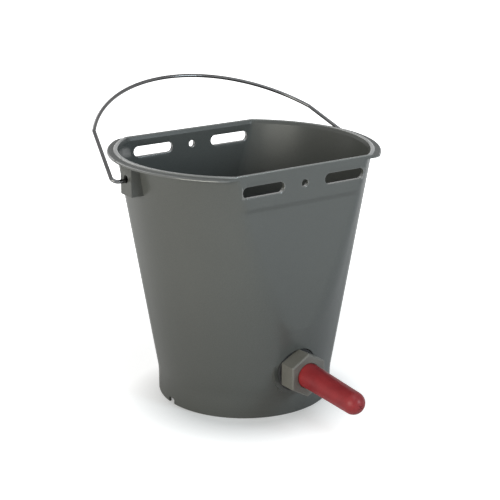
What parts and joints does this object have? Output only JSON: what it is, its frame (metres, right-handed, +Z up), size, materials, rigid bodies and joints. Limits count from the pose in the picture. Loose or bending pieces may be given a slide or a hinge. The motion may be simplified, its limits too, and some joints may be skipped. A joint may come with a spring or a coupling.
{
  "type": "calf feeding bucket",
  "caption": "Tapered round bucket with a flat front and back, slotted rims, a swinging wire bail and a rubber teat on a one-way valve near the floor.",
  "frame": {"origin": "centre of the whole object's box, on the floor", "axes": "+Z up, -Y the way the teat points, +X along the flat sides, to the right as seen from the teat"},
  "size_m": [0.3114, 0.3479, 0.3239],
  "materials": {
    "bucket_plastic": "satin",
    "gasket_rubber": "matt",
    "inner_gasket_rubber": "matt",
    "nut_plastic": "matt",
    "valve_plastic": "matt",
    "ball_plastic": "gloss",
    "retainer_plastic": "matt",
    "teat_rubber": "satin",
    "bail_wire": "bright"
  },
  "bodies": {
    "bucket_body": {"bucket": "bucket_plastic", "outer_gasket": "gasket_rubber", "inner_gasket": "inner_gasket_rubber", "hex_nut": "nut_plastic", "valve_body": "valve_plastic", "ball_retainer": "retainer_plastic", "teat": "teat_rubber"},
    "bail_body": {"bail": "bail_wire"},
    "ball_body": {"valve_ball": "ball_plastic"}
  },
  "joints": [
    {"name": "bail_swing", "type": "hinge", "parent": "bucket_body", "child": "bail_body", "pos_m": [0, 0.02988, 0.2526], "axis": [1, 0, 0], "range_deg": [-69, 197]},
    {"name": "valve_ball_slide", "type": "slide", "parent": "bucket_body", "child": "ball_body", "axis": [0, -1, 0], "range_m": [0, 0.01]}
  ]
}
